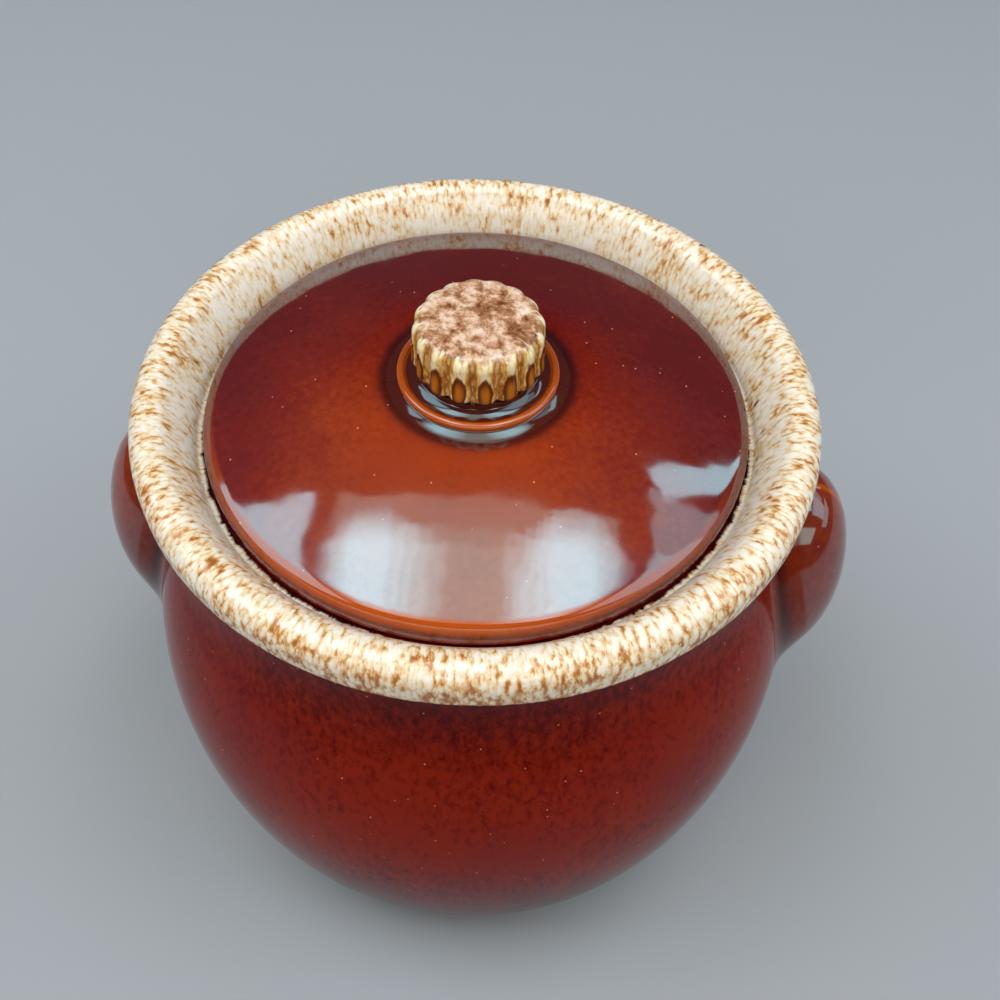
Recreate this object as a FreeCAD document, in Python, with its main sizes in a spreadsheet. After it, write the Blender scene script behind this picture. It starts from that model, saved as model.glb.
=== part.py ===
import FreeCAD, Part
import math
import os

import Sketcher
from FreeCAD import Placement, Rotation, Vector

# A two-handled stoneware bean pot with a lift-off lid, in millimetres.
# The pot stands on the plane z = 0 with its axis on Z, and its two lugs lie on the X axis.

# Driving sizes: name, millimetres (or a plain number) and what the size is.
SIZES = (
    ("rim_height", 155.0, "top of the rolled rim above the table"),
    ("rim_radius", 82.5, "outside of the rolled rim"),
    ("rim_width", 14.2, "outside of the rim to the foot of its inner slope"),
    ("lip_radius", 5.0, "round top of the rim"),
    ("lip_straight", 2.5, "upright band of the rim below its round top"),
    ("lip_under_radius", 5.5, "underside of the rim, curling back to the neck"),
    ("ledge_width", 7.8, "gallery that the lid rests on, foot of the slope to the throat"),
    ("ledge_thickness", 6.0, "gallery at the edge of the throat"),
    ("neck_inset", 6.0, "neck, behind the outside of the rim"),
    ("neck_length", 8.0, "underside of the rim down to where the shoulder starts"),
    ("belly_bulge", 14.2, "belly, beyond the neck"),
    ("belly_height", 64.0, "widest part of the belly above the table"),
    ("shoulder_share", 0.645, "part of the neck-to-belly curve that bulges outwards"),
    ("haunch_curve", 150.0, "radius of the wall just below the belly"),
    ("base_curve", 30.0, "radius of the turn in to the foot"),
    ("base_inset", 28.7, "edge of the flat base, inside the belly"),
    ("wall_thickness", 6.5, "wall of the pot"),
    ("floor_thickness", 7.5, "floor of the pot"),
    ("inside_corner", 22.0, "round between floor and wall, inside"),
    ("foot_height", 2.5, "foot ring below the base"),
    ("foot_width", 8.0, "foot ring across its flat"),
    ("foot_step", 1.2, "foot ring, in from the edge of the base"),
    ("lug_centre_height", 92.0, "middle of a lug above the table"),
    ("lug_height", 69.0, "lug from top to bottom"),
    ("lug_width", 44.0, "lug across its root"),
    ("lug_projection", 16.4, "tip of a lug, beyond its middle"),
    ("lug_setback", 4.8, "middle of a lug, inside the belly's widest radius"),
    ("lid_clearance", 1.8, "lid inside the foot of the rim's slope"),
    ("seat_clearance", 0.2, "lid above the gallery"),
    ("lid_edge_height", 4.8, "upright edge of the lid"),
    ("lid_edge_round", 1.6, "rounding of the lid's edge"),
    ("lid_rise", 10.1, "crown of the lid above its edge"),
    ("lid_thickness", 5.5, "dome of the lid"),
    ("flange_clearance", 1.0, "locating ring inside the throat"),
    ("flange_width", 5.0, "locating ring across"),
    ("flange_depth", 8.0, "locating ring below the lid"),
    ("flange_round", 1.4, "rounding of the locating ring"),
    ("collar_radius", 19.4, "stepped collar under the knob"),
    ("collar_height", 2.4, "collar above the dome at its edge"),
    ("bead_radius", 1.2, "bead round the edge of the collar"),
    ("bead_rise", 0.6, "bead above the flat inside it"),
    ("knob_base_radius", 16.6, "knob where it stands on the collar"),
    ("knob_top_radius", 15.9, "knob just below its top edge"),
    ("knob_height", 15.2, "knob from the collar to its top edge"),
    ("knob_crown", 1.2, "rise of the knob's top"),
    ("knob_edge_round", 1.6, "rounding of the knob's top edge"),
    ("flute_count", 16, "flutes round the knob"),
    ("flute_radius", 1.7, "radius of a flute"),
    ("flute_depth", 1.5, "depth of a flute at the foot of the knob"),
)

# Sizes that follow from the ones above.
FOLLOWING = (
    ("rim_depth", "lip_radius + lip_straight + lip_under_radius"),
    ("seat_height", "rim_height - rim_depth"),
    ("gallery_radius", "rim_radius - rim_width"),
    ("throat_radius", "gallery_radius - ledge_width"),
    ("ledge_under_height", "seat_height - ledge_thickness"),
    ("lip_centre_radius", "rim_radius - lip_radius"),
    ("lip_centre_rise", "rim_depth - lip_radius"),
    ("rim_foot_radius", "rim_radius - lip_under_radius"),
    ("neck_radius", "rim_radius - neck_inset"),
    ("neck_height", "seat_height - neck_length"),
    ("belly_radius", "neck_radius + belly_bulge"),
    ("neck_rise", "neck_height - belly_height"),
    ("shoulder_curve", "shoulder_share * (belly_bulge^2 + neck_rise^2) / (2 * belly_bulge)"),
    ("base_radius", "belly_radius - base_inset"),
    ("floor_height", "foot_height + floor_thickness"),
    ("inner_belly_radius", "belly_radius - wall_thickness"),
    ("inner_neck_radius", "neck_radius - wall_thickness"),
    ("inner_haunch_curve", "haunch_curve - wall_thickness"),
    ("inner_shoulder_curve", "shoulder_curve - wall_thickness"),
    ("foot_outer_radius", "base_radius - foot_step"),
    ("foot_inner_radius", "foot_outer_radius - foot_width"),
    ("lug_centre_radius", "belly_radius - lug_setback"),
    ("lug_half_height", "lug_height / 2"),
    ("lug_half_width", "lug_width / 2"),
    ("lid_base_height", "seat_height + seat_clearance"),
    ("lid_radius", "gallery_radius - lid_clearance"),
    ("dome_curve", "(lid_radius^2 + lid_rise^2) / (2 * lid_rise)"),
    ("dome_top", "lid_edge_height + lid_rise"),
    ("dome_centre", "dome_top - dome_curve"),
    ("flange_radius", "throat_radius - flange_clearance"),
    ("flange_inner_radius", "flange_radius - flange_width"),
    ("flange_base_height", "lid_base_height - flange_depth"),
    ("inner_dome_curve", "dome_curve - lid_thickness"),
    ("inner_dome_top", "dome_top - lid_thickness"),
    ("inner_dome_edge", "dome_centre + sqrt(inner_dome_curve^2 - flange_inner_radius^2)"),
    ("collar_foot", "dome_centre + sqrt(dome_curve^2 - collar_radius^2)"),
    ("collar_top", "collar_foot + collar_height"),
    ("bead_centre_height", "collar_top - bead_radius"),
    ("collar_flat", "collar_top - bead_rise"),
    ("knob_base_height", "lid_base_height + collar_flat"),
    ("knob_top_height", "knob_height + knob_crown"),
    ("flute_circle", "knob_base_radius + flute_radius - flute_depth"),
)

SHEET = "Sizes"
SAME_PLACE = 0.001
FULL_TURN = 360.0

doc = FreeCAD.newDocument("bean_pot")
sheet = doc.addObject("Spreadsheet::Sheet", SHEET)


def fill_sheet():
    """Write the sizes down the sheet: notes in A, values in B, each with its alias."""
    row = 0
    for name, number, note in SIZES:
        row += 1
        sheet.set(f"A{row}", note)
        sheet.set(f"B{row}", str(number))
        sheet.setAlias(f"B{row}", name)
    for name, formula in FOLLOWING:
        row += 1
        sheet.set(f"A{row}", name.replace("_", " "))
        sheet.set(f"B{row}", "=" + formula)
        sheet.setAlias(f"B{row}", name)
    doc.recompute()


def size(name):
    """The present value of a cell."""
    return float(sheet.get(name))


def cell(name):
    """The expression that binds a property to a cell."""
    return f"{SHEET}.{name}"


def origin_plane(body, role):
    """One of a body's own origin planes."""
    return next(feature for feature in body.Origin.OriginFeatures if feature.Role == role)


def new_sketch(body, name, role):
    """A sketch on one of the body's own origin planes."""
    sketch = body.newObject("Sketcher::SketchObject", name)
    sketch.AttachmentSupport = [(origin_plane(body, role), "")]
    sketch.MapMode = "FlatFace"
    return sketch


def bind(sketch, kind, *target, name):
    """Hold a size in a sketch at the value of a cell."""
    index = sketch.addConstraint(Sketcher.Constraint(kind, *target, size(name)))
    sketch.setExpression(f"Constraints[{index}]", cell(name))


class Section:
    """A closed half-section in the XZ plane of a body, drawn edge by edge.

    A pinned corner is held by two cells, one for its radius and one for its height, where
    None stands for zero. An arc is held by its radius, by the height of its centre or by a
    smooth start, and a corner that is left loose follows from the arcs that meet there.
    """

    ORIGIN_INDEX = H_AXIS_INDEX = -1
    V_AXIS_INDEX = -2
    START, END, CENTRE = 1, 2, 3

    def __init__(self, body, name, start):
        self.sketch = new_sketch(body, name, "XZ_Plane")
        self.start_cells = start
        self.point = self.place(start)

    @staticmethod
    def place(cells):
        radius, height = cells
        return (size(radius) if radius else 0.0, size(height) if height else 0.0)

    def pin(self, edge, end, cells):
        radius, height = cells
        if radius:
            bind(self.sketch, "DistanceX", self.ORIGIN_INDEX, self.START, edge, end,
                 name=radius)
        else:
            self.sketch.addConstraint(
                Sketcher.Constraint("PointOnObject", edge, end, self.V_AXIS_INDEX))
        if height:
            bind(self.sketch, "DistanceY", self.ORIGIN_INDEX, self.START, edge, end,
                 name=height)
        else:
            self.sketch.addConstraint(
                Sketcher.Constraint("PointOnObject", edge, end, self.H_AXIS_INDEX))

    def add(self, curve, smooth, near_end):
        edge = self.sketch.addGeometry(curve, False)
        if edge:
            kind = "Tangent" if smooth else "Coincident"
            self.sketch.addConstraint(
                Sketcher.Constraint(kind, edge - 1, self.far_end, edge, near_end))
        else:
            self.pin(edge, near_end, self.start_cells)
            self.first_start = near_end
        return edge

    def line(self, to, smooth=False, pinned=None, along=None):
        """A straight edge to a point, or to the corner that the cells in pinned give, kept
        Horizontal or Vertical where along says so."""
        end = self.place(pinned) if pinned else to
        segment = Part.LineSegment(Vector(*self.point, 0), Vector(*end, 0))
        edge = self.add(segment, smooth, self.START)
        self.far_end = self.END
        if pinned:
            self.pin(edge, self.END, pinned)
        if along:
            self.sketch.addConstraint(Sketcher.Constraint(along, edge))
        self.point = end

    def arc(self, centre, to, smooth=False, pinned=None, radius=None, centre_height=None,
            on_axis=False):
        """An arc round a centre, turning the short way to its end. Its centre is kept at the
        height in a cell, or on the axis."""
        end = self.place(pinned) if pinned else to
        first = math.atan2(self.point[1] - centre[1], self.point[0] - centre[0])
        last = math.atan2(end[1] - centre[1], end[0] - centre[0])
        turn = (last - first + math.pi) % (2 * math.pi) - math.pi
        circle = Part.Circle(Vector(*centre, 0), Vector(0, 0, 1), math.dist(centre, self.point))
        near = self.START if turn > 0 else self.END
        curve = Part.ArcOfCircle(circle, min(first, first + turn), max(first, first + turn))
        edge = self.add(curve, smooth, near)
        self.far_end = self.START + self.END - near
        if pinned:
            self.pin(edge, self.far_end, pinned)
        if radius:
            bind(self.sketch, "Radius", edge, name=radius)
        if centre_height:
            bind(self.sketch, "DistanceY", self.ORIGIN_INDEX, self.START, edge, self.CENTRE,
                 name=centre_height)
        if on_axis:
            self.sketch.addConstraint(
                Sketcher.Constraint("PointOnObject", edge, self.CENTRE, self.V_AXIS_INDEX))
        self.point = end

    def close(self, smooth=False):
        """A straight edge back to the start."""
        end = self.place(self.start_cells)
        segment = Part.LineSegment(Vector(*self.point, 0), Vector(*end, 0))
        edge = self.add(segment, smooth, self.START)
        self.sketch.addConstraint(
            Sketcher.Constraint("Coincident", edge, self.END, 0, self.first_start))
        return self.sketch


def new_body(label, height=None, turn=0.0):
    """A body with its label, standing at the height in a cell and turned about Z."""
    body = doc.addObject("PartDesign::Body", label)
    body.Label = label
    lift = size(height) if height else 0.0
    body.Placement = Placement(Vector(0, 0, lift), Rotation(Vector(0, 0, 1), turn))
    if height:
        body.setExpression("Placement.Base.z", cell(height))
    return body


def turn_solid(body, sketch, kind="Revolution"):
    """Turn a half-section right round the body's axis, as material or as a cut."""
    feature = body.newObject("PartDesign::" + kind, f"{sketch.Name}_{kind.lower()}")
    feature.Profile = sketch
    feature.ReferenceAxis = (sketch, ["V_Axis"])
    feature.Angle = FULL_TURN
    return feature


def round_circles(body, base, radius, circles):
    """Round the circular edges of a feature, each found by its radius and height."""
    doc.recompute()
    names = []
    for index, edge in enumerate(base.Shape.Edges, start=1):
        if edge.Degenerated or not isinstance(edge.Curve, Part.Circle):
            continue
        found = (edge.Curve.Radius, edge.Curve.Center.z)
        if any(math.dist(found, circle) < SAME_PLACE for circle in circles):
            names.append(f"Edge{index}")
    fillet = body.newObject("PartDesign::Fillet", f"{base.Name}_round")
    fillet.Base = (base, names)
    fillet.Radius = size(radius)
    fillet.setExpression("Radius", cell(radius))
    return fillet


def shoulder_joint(offset):
    """Centres of the shoulder and neck arcs and the point where they meet, for a wall
    surface that lies this far inside the outer one."""
    span = size("shoulder_curve") / size("shoulder_share")
    shoulder_centre = (size("belly_radius") - size("shoulder_curve"), size("belly_height"))
    neck_centre = (size("neck_radius") + span - size("shoulder_curve"), size("neck_height"))
    reach = (size("shoulder_curve") - offset) / span
    joint = tuple(a + (b - a) * reach for a, b in zip(shoulder_centre, neck_centre))
    return shoulder_centre, neck_centre, joint


def base_joint():
    """Centres of the haunch and base arcs and the point where they meet."""
    haunch = size("haunch_curve")
    base = size("base_curve")
    haunch_centre = (size("belly_radius") - haunch, size("belly_height"))
    across = size("base_radius") - haunch_centre[0]
    down = haunch_centre[1] - size("foot_height")
    reach = math.hypot(across, down)
    along = (reach ** 2 + (haunch - base) ** 2 - base ** 2) / (2 * reach)
    aside = math.sqrt((haunch - base) ** 2 - along ** 2)
    unit = (across / reach, -down / reach)
    base_centre = (haunch_centre[0] + along * unit[0] - aside * unit[1],
                   haunch_centre[1] + along * unit[1] + aside * unit[0])
    joint = tuple(a + (b - a) * haunch / (haunch - base) for a, b in zip(haunch_centre, base_centre))
    return haunch_centre, base_centre, joint


def outer_wall(section):
    """The pot's outside, from the edge of its base up to the underside of the rim."""
    haunch_centre, base_centre, low_joint = base_joint()
    shoulder_centre, neck_centre, high_joint = shoulder_joint(0.0)
    section.arc(base_centre, low_joint, radius="base_curve")
    section.arc(haunch_centre, None, smooth=True, pinned=("belly_radius", "belly_height"),
                radius="haunch_curve", centre_height="belly_height")
    section.arc(shoulder_centre, high_joint, radius="shoulder_curve", centre_height="belly_height")
    section.arc(neck_centre, None, smooth=True, pinned=("neck_radius", "neck_height"),
                centre_height="neck_height")
    section.line(None, pinned=("neck_radius", "seat_height"))


def inner_wall(section):
    """The pot's inside, from the throat down to the middle of the floor."""
    shoulder_centre, neck_centre, high_joint = shoulder_joint(size("wall_thickness"))
    haunch_centre = (size("belly_radius") - size("haunch_curve"), size("belly_height"))
    corner = size("inside_corner")
    corner_height = size("floor_height") + corner
    reach = size("inner_haunch_curve") - corner
    drop = haunch_centre[1] - corner_height
    corner_centre = (haunch_centre[0] + math.sqrt(reach ** 2 - drop ** 2), corner_height)
    stretch = size("inner_haunch_curve") / reach
    low_joint = tuple(a + (b - a) * stretch for a, b in zip(haunch_centre, corner_centre))
    section.line(None, pinned=("throat_radius", "seat_height"))
    section.line(None, pinned=("throat_radius", "ledge_under_height"))
    section.line(None, pinned=("inner_neck_radius", "neck_height"))
    section.arc(neck_centre, high_joint, centre_height="neck_height")
    section.arc(shoulder_centre, None, smooth=True, pinned=("inner_belly_radius", "belly_height"),
                radius="inner_shoulder_curve", centre_height="belly_height")
    section.arc(haunch_centre, low_joint, radius="inner_haunch_curve",
                centre_height="belly_height")
    section.arc(corner_centre, (corner_centre[0], size("floor_height")), smooth=True,
                radius="inside_corner")
    section.line(None, smooth=True, pinned=(None, "floor_height"), along="Horizontal")


def make_pot_body():
    """The vessel: floor, belly, shoulder, neck and the gallery that carries the lid."""
    body = new_body("pot_body")
    section = Section(body, "wall_section", (None, "foot_height"))
    section.line(None, pinned=("base_radius", "foot_height"))
    outer_wall(section)
    inner_wall(section)
    turn_solid(body, section.close())
    return body


def make_foot_ring():
    """The bare ring that the pot stands on."""
    body = new_body("foot_ring")
    section = Section(body, "foot_section", ("foot_inner_radius", None))
    section.line(None, pinned=("foot_outer_radius", None))
    section.line(None, pinned=("foot_outer_radius", "foot_height"))
    section.line(None, pinned=("foot_inner_radius", "foot_height"))
    turn_solid(body, section.close())
    return body


def make_rolled_rim():
    """The rolled rim: an upright band, a round top and a slope down to the gallery."""
    body = new_body("rolled_rim", "seat_height")
    lip_centre = (size("lip_centre_radius"), size("lip_centre_rise"))
    under_centre = (size("rim_foot_radius"), size("lip_under_radius"))
    across = lip_centre[0] - size("gallery_radius")
    reach = math.hypot(across, lip_centre[1])
    slope = math.atan2(lip_centre[1], across) + math.asin(size("lip_radius") / reach)
    run = math.sqrt(reach ** 2 - size("lip_radius") ** 2)
    slope_top = (size("gallery_radius") + run * math.cos(slope), run * math.sin(slope))

    section = Section(body, "rim_section", ("gallery_radius", None))
    section.line(None, pinned=("rim_foot_radius", None))
    section.arc(under_centre, None, pinned=("rim_radius", "lip_under_radius"),
                centre_height="lip_under_radius")
    section.line(None, pinned=("rim_radius", "lip_centre_rise"))
    section.arc(lip_centre, slope_top, radius="lip_radius", centre_height="lip_centre_rise")
    turn_solid(body, section.close(smooth=True))
    return body


def make_lug(label, turn):
    """A solid ear that the pot is lifted by, rooted on the outside of the wall."""
    body = new_body(label, turn=turn)
    ear = body.newObject("PartDesign::AdditiveEllipsoid", f"{label}_ear")
    ear.setExpression("Placement.Base.x", cell("lug_centre_radius"))
    ear.setExpression("Placement.Base.z", cell("lug_centre_height"))
    ear.setExpression("Radius1", cell("lug_half_height"))
    ear.setExpression("Radius2", cell("lug_projection"))
    ear.setExpression("Radius3", cell("lug_half_width"))
    section = Section(body, f"{label}_root", (None, "foot_height"))
    section.line(None, pinned=("base_radius", "foot_height"))
    outer_wall(section)
    section.line(None, pinned=(None, "seat_height"))
    turn_solid(body, section.close(), "Groove")
    return body


def make_lid_shell():
    """The lid's dome, with a rounded upright edge that rests on the gallery."""
    body = new_body("lid_shell", "lid_base_height")
    dome_centre = (0.0, size("dome_centre"))
    section = Section(body, "lid_section", (None, "dome_top"))
    section.arc(dome_centre, None, pinned=("lid_radius", "lid_edge_height"), on_axis=True)
    section.line(None, pinned=("lid_radius", None))
    section.line(None, pinned=("flange_inner_radius", None))
    section.line(None, pinned=("flange_inner_radius", "inner_dome_edge"))
    section.arc(dome_centre, None, pinned=(None, "inner_dome_top"), on_axis=True)
    dome = turn_solid(body, section.close())
    edges = [(size("lid_radius"), height) for height in (0.0, size("lid_edge_height"))]
    round_circles(body, dome, "lid_edge_round", edges)
    return body


def make_lid_flange():
    """The locating ring that drops into the throat and keeps the lid in the middle."""
    body = new_body("lid_flange", "flange_base_height")
    section = Section(body, "flange_section", ("flange_inner_radius", None))
    section.line(None, pinned=("flange_radius", None))
    section.line(None, pinned=("flange_radius", "flange_depth"))
    section.line(None, pinned=("flange_inner_radius", "flange_depth"))
    ring = turn_solid(body, section.close())
    edges = [(size(radius), 0.0) for radius in ("flange_inner_radius", "flange_radius")]
    round_circles(body, ring, "flange_round", edges)
    return body


def make_knob_collar():
    """The stepped collar: a disc on the dome with a bead round its edge."""
    body = new_body("knob_collar", "lid_base_height")
    bead = size("bead_radius")
    bead_centre = (size("collar_radius") - bead, size("bead_centre_height"))
    lift = bead - size("bead_rise")
    bead_end = (bead_centre[0] - math.sqrt(bead ** 2 - lift ** 2), size("collar_flat"))
    section = Section(body, "collar_section", (None, "dome_top"))
    section.arc((0.0, size("dome_centre")), None, pinned=("collar_radius", "collar_foot"),
                on_axis=True)
    section.line(None, pinned=("collar_radius", "bead_centre_height"))
    section.arc(bead_centre, bead_end, smooth=True, radius="bead_radius")
    section.line(None, pinned=(None, "collar_flat"), along="Horizontal")
    turn_solid(body, section.close())
    return body


def make_knob():
    """The grip: a tapered round with a crowned top, fluted all round."""
    body = new_body("knob", "knob_base_height")
    crown = size("knob_crown")
    crown_curve = (size("knob_top_radius") ** 2 + crown ** 2) / (2 * crown)
    section = Section(body, "knob_section", (None, None))
    section.line(None, pinned=("knob_base_radius", None))
    section.line(None, pinned=("knob_top_radius", "knob_height"))
    section.arc((0.0, size("knob_top_height") - crown_curve), None,
                pinned=(None, "knob_top_height"), on_axis=True)
    blank = turn_solid(body, section.close())
    round_circles(body, blank, "knob_edge_round", [(size("knob_top_radius"), size("knob_height"))])

    cutter = new_sketch(body, "flute_circle", "XY_Plane")
    centre = Vector(size("flute_circle"), 0, 0)
    circle = cutter.addGeometry(Part.Circle(centre, Vector(0, 0, 1), size("flute_radius")), False)
    cutter.addConstraint(
        Sketcher.Constraint("PointOnObject", circle, Section.CENTRE, Section.H_AXIS_INDEX))
    bind(cutter, "DistanceX", Section.ORIGIN_INDEX, Section.START, circle, Section.CENTRE,
         name="flute_circle")
    bind(cutter, "Radius", circle, name="flute_radius")
    flute = body.newObject("PartDesign::Pocket", "flute")
    flute.Profile = cutter
    flute.Type = "ThroughAll"
    flute.Reversed = True
    flutes = body.newObject("PartDesign::PolarPattern", "flutes")
    flutes.Originals = [flute]
    flutes.Axis = (cutter, ["N_Axis"])
    flutes.Angle = FULL_TURN
    flutes.setExpression("Occurrences", cell("flute_count"))
    body.Tip = flutes
    return body


def check(bodies):
    """Stop if a feature failed or a sub-part has no sound solid."""
    for item in doc.Objects:
        if {"Invalid", "Error"} & set(item.State):
            raise RuntimeError(f"{item.Label} failed: {item.State}")
    for body in bodies:
        if body.Shape.isNull() or not body.Shape.isValid():
            raise RuntimeError(f"{body.Label} has no valid shape")


fill_sheet()
sub_parts = [
    make_pot_body(),
    make_foot_ring(),
    make_rolled_rim(),
    make_lug("lug_handle_right", 0.0),
    make_lug("lug_handle_left", 180.0),
    make_lid_shell(),
    make_lid_flange(),
    make_knob_collar(),
    make_knob(),
]
doc.recompute()
check(sub_parts)
os.makedirs("parts", exist_ok=True)
for sub_part in sub_parts:
    sub_part.Shape.exportStep(f"parts/{sub_part.Label}.step")
    print(sub_part.Label, round(sub_part.Shape.Volume / 1000, 2), "cubic centimetres")
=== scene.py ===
"""The finish of a glazed stoneware bean pot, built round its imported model.

Lengths are written in millimetres and turned to metres where Blender takes them. The pot
stands on z = 0 with its axis on Z and its two lugs on X.
"""

from functools import partial
from math import asin, atan, atan2, cos, dist, exp, hypot, pi, radians, sin, sqrt, tan

import bpy
from mathutils import Matrix, Vector


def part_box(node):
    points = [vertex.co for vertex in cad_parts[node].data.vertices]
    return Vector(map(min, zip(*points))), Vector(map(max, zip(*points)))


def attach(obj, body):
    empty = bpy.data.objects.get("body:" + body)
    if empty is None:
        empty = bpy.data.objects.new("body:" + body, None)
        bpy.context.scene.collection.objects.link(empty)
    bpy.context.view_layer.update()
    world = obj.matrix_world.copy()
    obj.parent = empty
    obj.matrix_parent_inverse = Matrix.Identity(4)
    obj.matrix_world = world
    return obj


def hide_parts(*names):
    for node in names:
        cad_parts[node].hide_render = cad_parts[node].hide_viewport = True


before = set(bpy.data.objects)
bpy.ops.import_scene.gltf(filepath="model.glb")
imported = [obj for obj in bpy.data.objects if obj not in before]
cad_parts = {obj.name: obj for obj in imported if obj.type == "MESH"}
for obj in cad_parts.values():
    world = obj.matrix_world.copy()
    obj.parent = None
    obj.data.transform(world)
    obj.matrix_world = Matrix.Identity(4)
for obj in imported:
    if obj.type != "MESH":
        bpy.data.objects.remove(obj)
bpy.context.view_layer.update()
bpy.context.scene.view_settings.view_transform = "Standard"

MM = 0.001


def new_object(name, data):
    """An object in the scene that shows some data."""
    made = bpy.data.objects.new(name, data)
    bpy.context.scene.collection.objects.link(made)
    return made


def corner(node, high=True):
    """The highest or lowest corner of a node, in millimetres."""
    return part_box(node)[1 if high else 0] / MM


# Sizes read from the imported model.
BELLY_RADIUS = corner("pot_body").x
SEAT_HEIGHT = corner("pot_body").z
BASE_HEIGHT = corner("foot_ring").z
FOOT_RADIUS = corner("foot_ring").x
RIM_RADIUS = corner("rolled_rim").x
RIM_HEIGHT = corner("rolled_rim").z
LID_RADIUS = corner("lid_shell").x
LID_BASE = corner("lid_shell", high=False).z
DOME_TOP = corner("lid_shell").z
RING_RADIUS = corner("lid_flange").x
RING_FOOT = corner("lid_flange", high=False).z
COLLAR_RADIUS = corner("knob_collar").x
COLLAR_TOP = corner("knob_collar").z
KNOB_FOOT = corner("knob", high=False).z
KNOB_TOP = corner("knob").z
LUG_TIP = corner("lug_handle_right").x
LUG_HALF_WIDTH = corner("lug_handle_right").y
LUG_TOP = corner("lug_handle_right").z
LUG_BOTTOM = corner("lug_handle_right", high=False).z

# Sizes that the boxes don't give, in millimetres and radians. First the pot:
BELLY_HEIGHT = 64.0
NECK_INSET = 6.0
NECK_LENGTH = 8.0
SHOULDER_SHARE = 0.645
HAUNCH_CURVE = 150.0
BASE_CURVE = 30.0
BASE_INSET = 28.7
WALL = 6.5
WALL_ROUND = 2.0
FLOOR = 7.5
INSIDE_CORNER = 22.0
FOOT_WIDTH = 8.0
FOOT_ROUND = 0.8
LEDGE_WIDTH = 7.8
LEDGE_THICKNESS = 6.0
# its rolled rim:
RIM_WIDTH = 14.2
LIP_RADIUS = 5.0
LIP_UNDER_RADIUS = 5.5
LIP_UNDER_END = radians(-68)
RIM_HOLLOW_STEP = 0.9
RIM_HOLLOW_ROUND = 2.4
RIM_FOOT_ROUND = 1.4
RIM_SKIRT = 4.5
RIM_SKIRT_WIDTH = 2.0
SLOPE_BULGE = 0.24
# the lid:
LID_EDGE = 4.8
LID_TURN_DOWN = 62.9
LID_TURN_REACH = 2.0
LID_TURN_SLOPE = 0.25
LID_BEVEL_ROUND = 3.0
LID_BEVEL_STEEP = 1.1
LID_FOOT_ROUND = 0.7
LID_THICKNESS = 5.5
RING_WIDTH = 5.0
RING_ROUND = 1.4
# its collar and knob:
BEAD_RADIUS = 1.05
BEAD_RISE = 0.6
COLLAR_TOE = 3.6
COLLAR_SUNK = 0.6
FLARE_CURVE = 12.0
DISH_CURVE = 4.0
DISH_WIDTH = 2.9
KNOB_FOOT_RADIUS = 13.5
KNOB_FOOT_HEIGHT = 2.0
KNOB_TIP_RADIUS = 15.8
KNOB_TIP = KNOB_FOOT + 4.0
KNOB_TIP_LENGTH = 2.0
KNOB_TIP_DRAFT = 0.1
KNOB_TIP_ROUND = 1.4
KNOB_SHOULDER_RADIUS = 15.2
KNOB_EDGE_ROUND = 3.2
KNOB_CROWN = 0.7
KNOB_CROWN_RADIUS = KNOB_SHOULDER_RADIUS - 2.2 * KNOB_EDGE_ROUND
KNOB_RIBS = 16
FURROW_SOFTNESS = 0.01
FURROW_SHAPE = 0.3
FURROW_DEPTH = 1.7
FURROW_START = 0.1
FURROW_FULL = 2.4
# and the lugs:
LUG_SETBACK = 4.8
LUG_ROOT = 8.0
LUG_BACK = 2.0
LUG_FILLET = 7.0
LUG_LEANS = (radians(45), radians(110))
LUG_STRIDE = 2.0
SEAM_WIDTH = 0.8
SEAM_RISE = 0.12

# How thin the glaze is on some places, as thinness() counts it, and how far that reaches. A pool
# is painted near black, which is pooled glaze and painted shade together.
AT_REST = -0.045
GALLERY_POOL_AND_SHADE = -0.8
LID_EDGE_BARED = 0.4
LID_EDGE_BLEND = 1.2
HALO_POOL_AND_SHADE = 0.5
HALO_WIDTH = 1.6
HALO_SHARE = 0.9
BEAD_BARED = 0.6
COLLAR_POOL_AND_SHADE = -0.45
SEAM_BARED = 0.5
LUG_POOL_AND_SHADE = 0.55
GLAZE_REACH = 1.6
FULL_BEND = radians(70)

# The fired glaze is a little uneven: how far its ripples lie apart and how high they are.
RIPPLE_SIZE = 10.0
WALL_RIPPLE = 0.12
LID_RIPPLE = 0.1
KNOB_RIPPLE = 0.25

# How finely the pieces are made, and how far they stand off or sink into each other.
TURNS = 384
KNOB_STEP = 0.35
LUG_SPOKES = 144
LUG_RINGS = 64
LEAST_CORNER = radians(25)
AXIS_GAP = 0.002
SKIN = 0.06
SUNK = 0.5


# ---- camera

PICTURE = 1000.0
SENSOR = 36.0
FOCUS_PX = 1082.0
CAMERA_DISTANCE = 260.76
CAMERA_NEAREST = 10.0
# Its way round the pot and down to it, in degrees, and then off the middle of the rim.
CAMERA_WAY = ((5.1, "Z"), (90 - 45.26, "X"))
CAMERA_AIM = ((-1.26, "Y"), (-6.43, "X"), (1.0, "Z"))


def turns(steps):
    """Turns about an object's own axes, one after another."""
    turned = Matrix.Identity(4)
    for angle, axis in steps:
        turned @= Matrix.Rotation(radians(angle), 4, axis)
    return turned


def make_camera():
    """A camera above and in front of the rim, turned a little off its centre."""
    camera = new_object("camera", bpy.data.cameras.new("camera"))
    camera.data.sensor_width = SENSOR
    camera.data.lens = SENSOR * FOCUS_PX / PICTURE
    camera.data.clip_start = CAMERA_NEAREST * MM
    rim, back = Vector((0, 0, RIM_HEIGHT)), Vector((0, 0, CAMERA_DISTANCE))
    camera.matrix_world = (Matrix.Translation(rim * MM) @ turns(CAMERA_WAY)
                           @ Matrix.Translation(back * MM) @ turns(CAMERA_AIM))
    bpy.context.scene.camera = camera


make_camera()


# ---- node trees

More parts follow.
